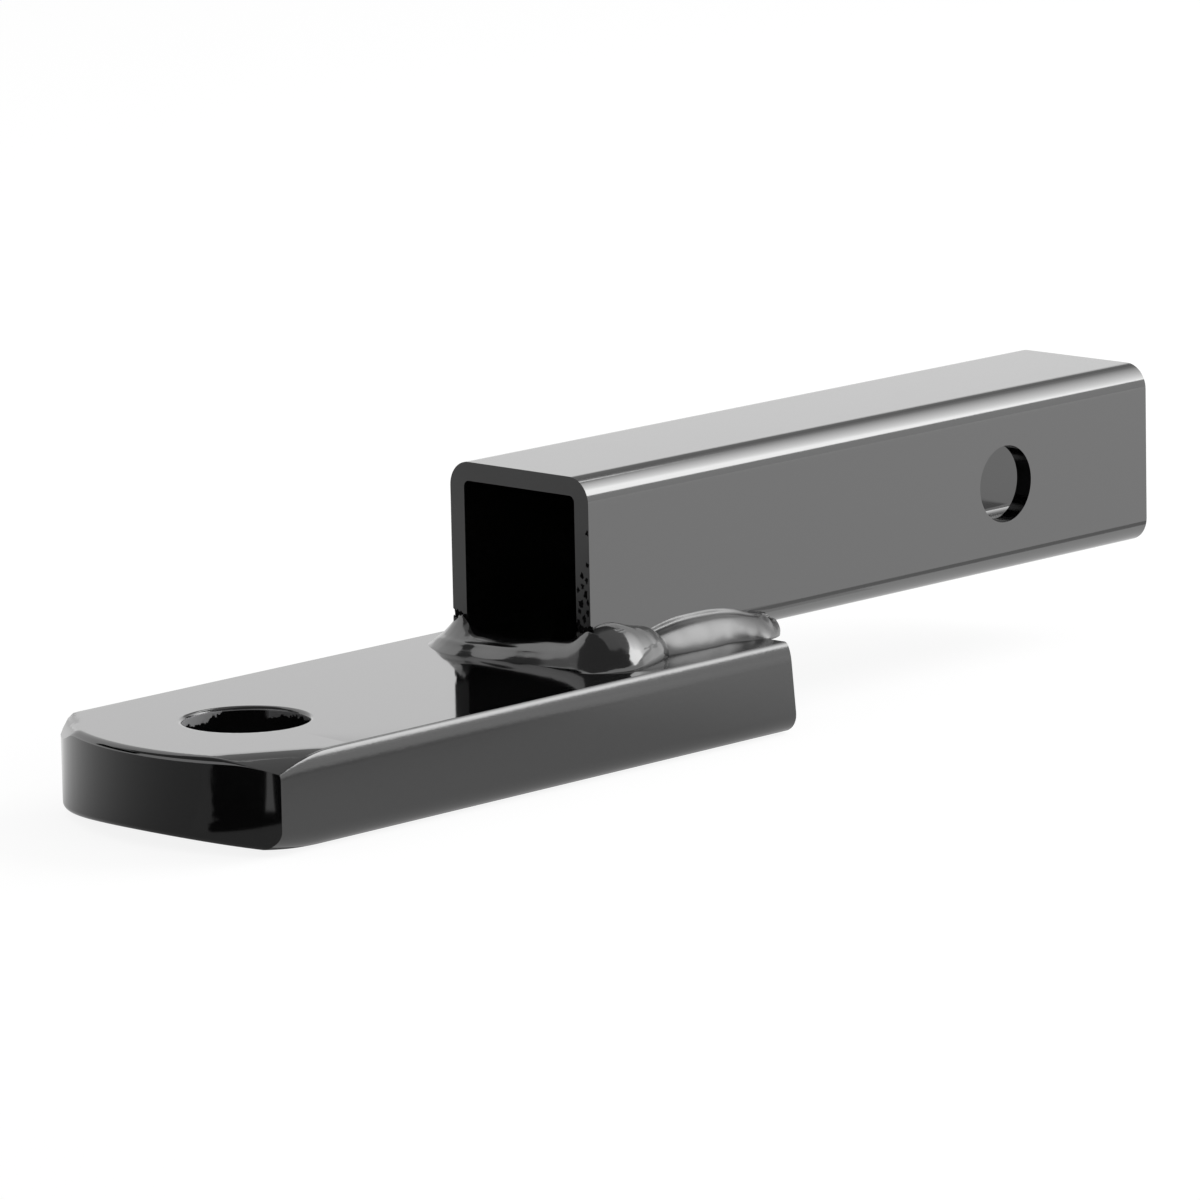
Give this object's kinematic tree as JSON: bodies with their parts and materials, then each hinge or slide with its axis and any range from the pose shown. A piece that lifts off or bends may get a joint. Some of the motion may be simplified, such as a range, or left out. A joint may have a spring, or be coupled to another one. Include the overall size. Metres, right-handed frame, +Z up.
{
  "type": "ball mount shank",
  "caption": "Straight tow ball mount: a square steel tube shank with a cross hole for a hitch pin, welded on a thick flat bar with a round ball hole near its sheared nose.",
  "frame": {"origin": "centre of the hitch pin hole, on the square tube's own axis", "axes": "+X along the tube towards the end that goes into the receiver, with the ball end at -X; +Y across, along the hitch pin; +Z up, away from the bar and along the ball's shank"},
  "size_m": [0.2346, 0.0542, 0.0477],
  "materials": {
    "black_coat": "gloss black coat over steel",
    "coated_weld": "gloss black coat over rippled weld metal"
  },
  "bodies": {
    "root": {"shank_tube": "black_coat", "tongue_bar": "black_coat", "front_weld": "coated_weld", "right_weld": "coated_weld", "left_weld": "coated_weld", "heel_weld": "coated_weld"}
  },
  "joints": []
}
